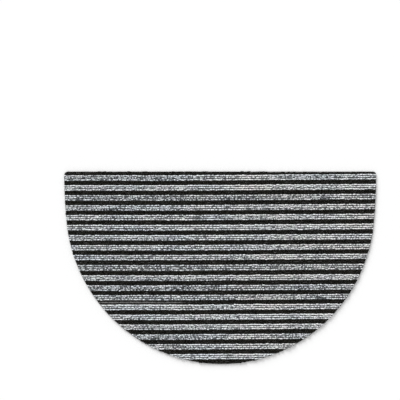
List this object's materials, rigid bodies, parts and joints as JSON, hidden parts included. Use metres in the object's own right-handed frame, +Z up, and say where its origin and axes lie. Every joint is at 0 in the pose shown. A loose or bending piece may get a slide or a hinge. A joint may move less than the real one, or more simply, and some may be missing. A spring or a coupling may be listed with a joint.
{
  "type": "kitchen mat",
  "caption": "Half-round kitchen mat of tufted loop pile with narrow dark and grey stripes, laid flat on a floor with its straight edge against a unit.",
  "frame": {"origin": "middle of the mat's outline box, on its underside", "axes": "+Z up out of the pile, +Y towards the straight edge, -Y towards the round front, +X along the stripes"},
  "size_m": [0.75, 0.463, 0.0064],
  "materials": {
    "pile_grey": "matt grey melange loop pile, with light and slate plies twisted together",
    "pile_black": "matt black loop pile",
    "backing": "matt dark coated backing with a fine scrim showing through"
  },
  "bodies": {
    "root": {"mat": "pile_grey"}
  },
  "joints": []
}
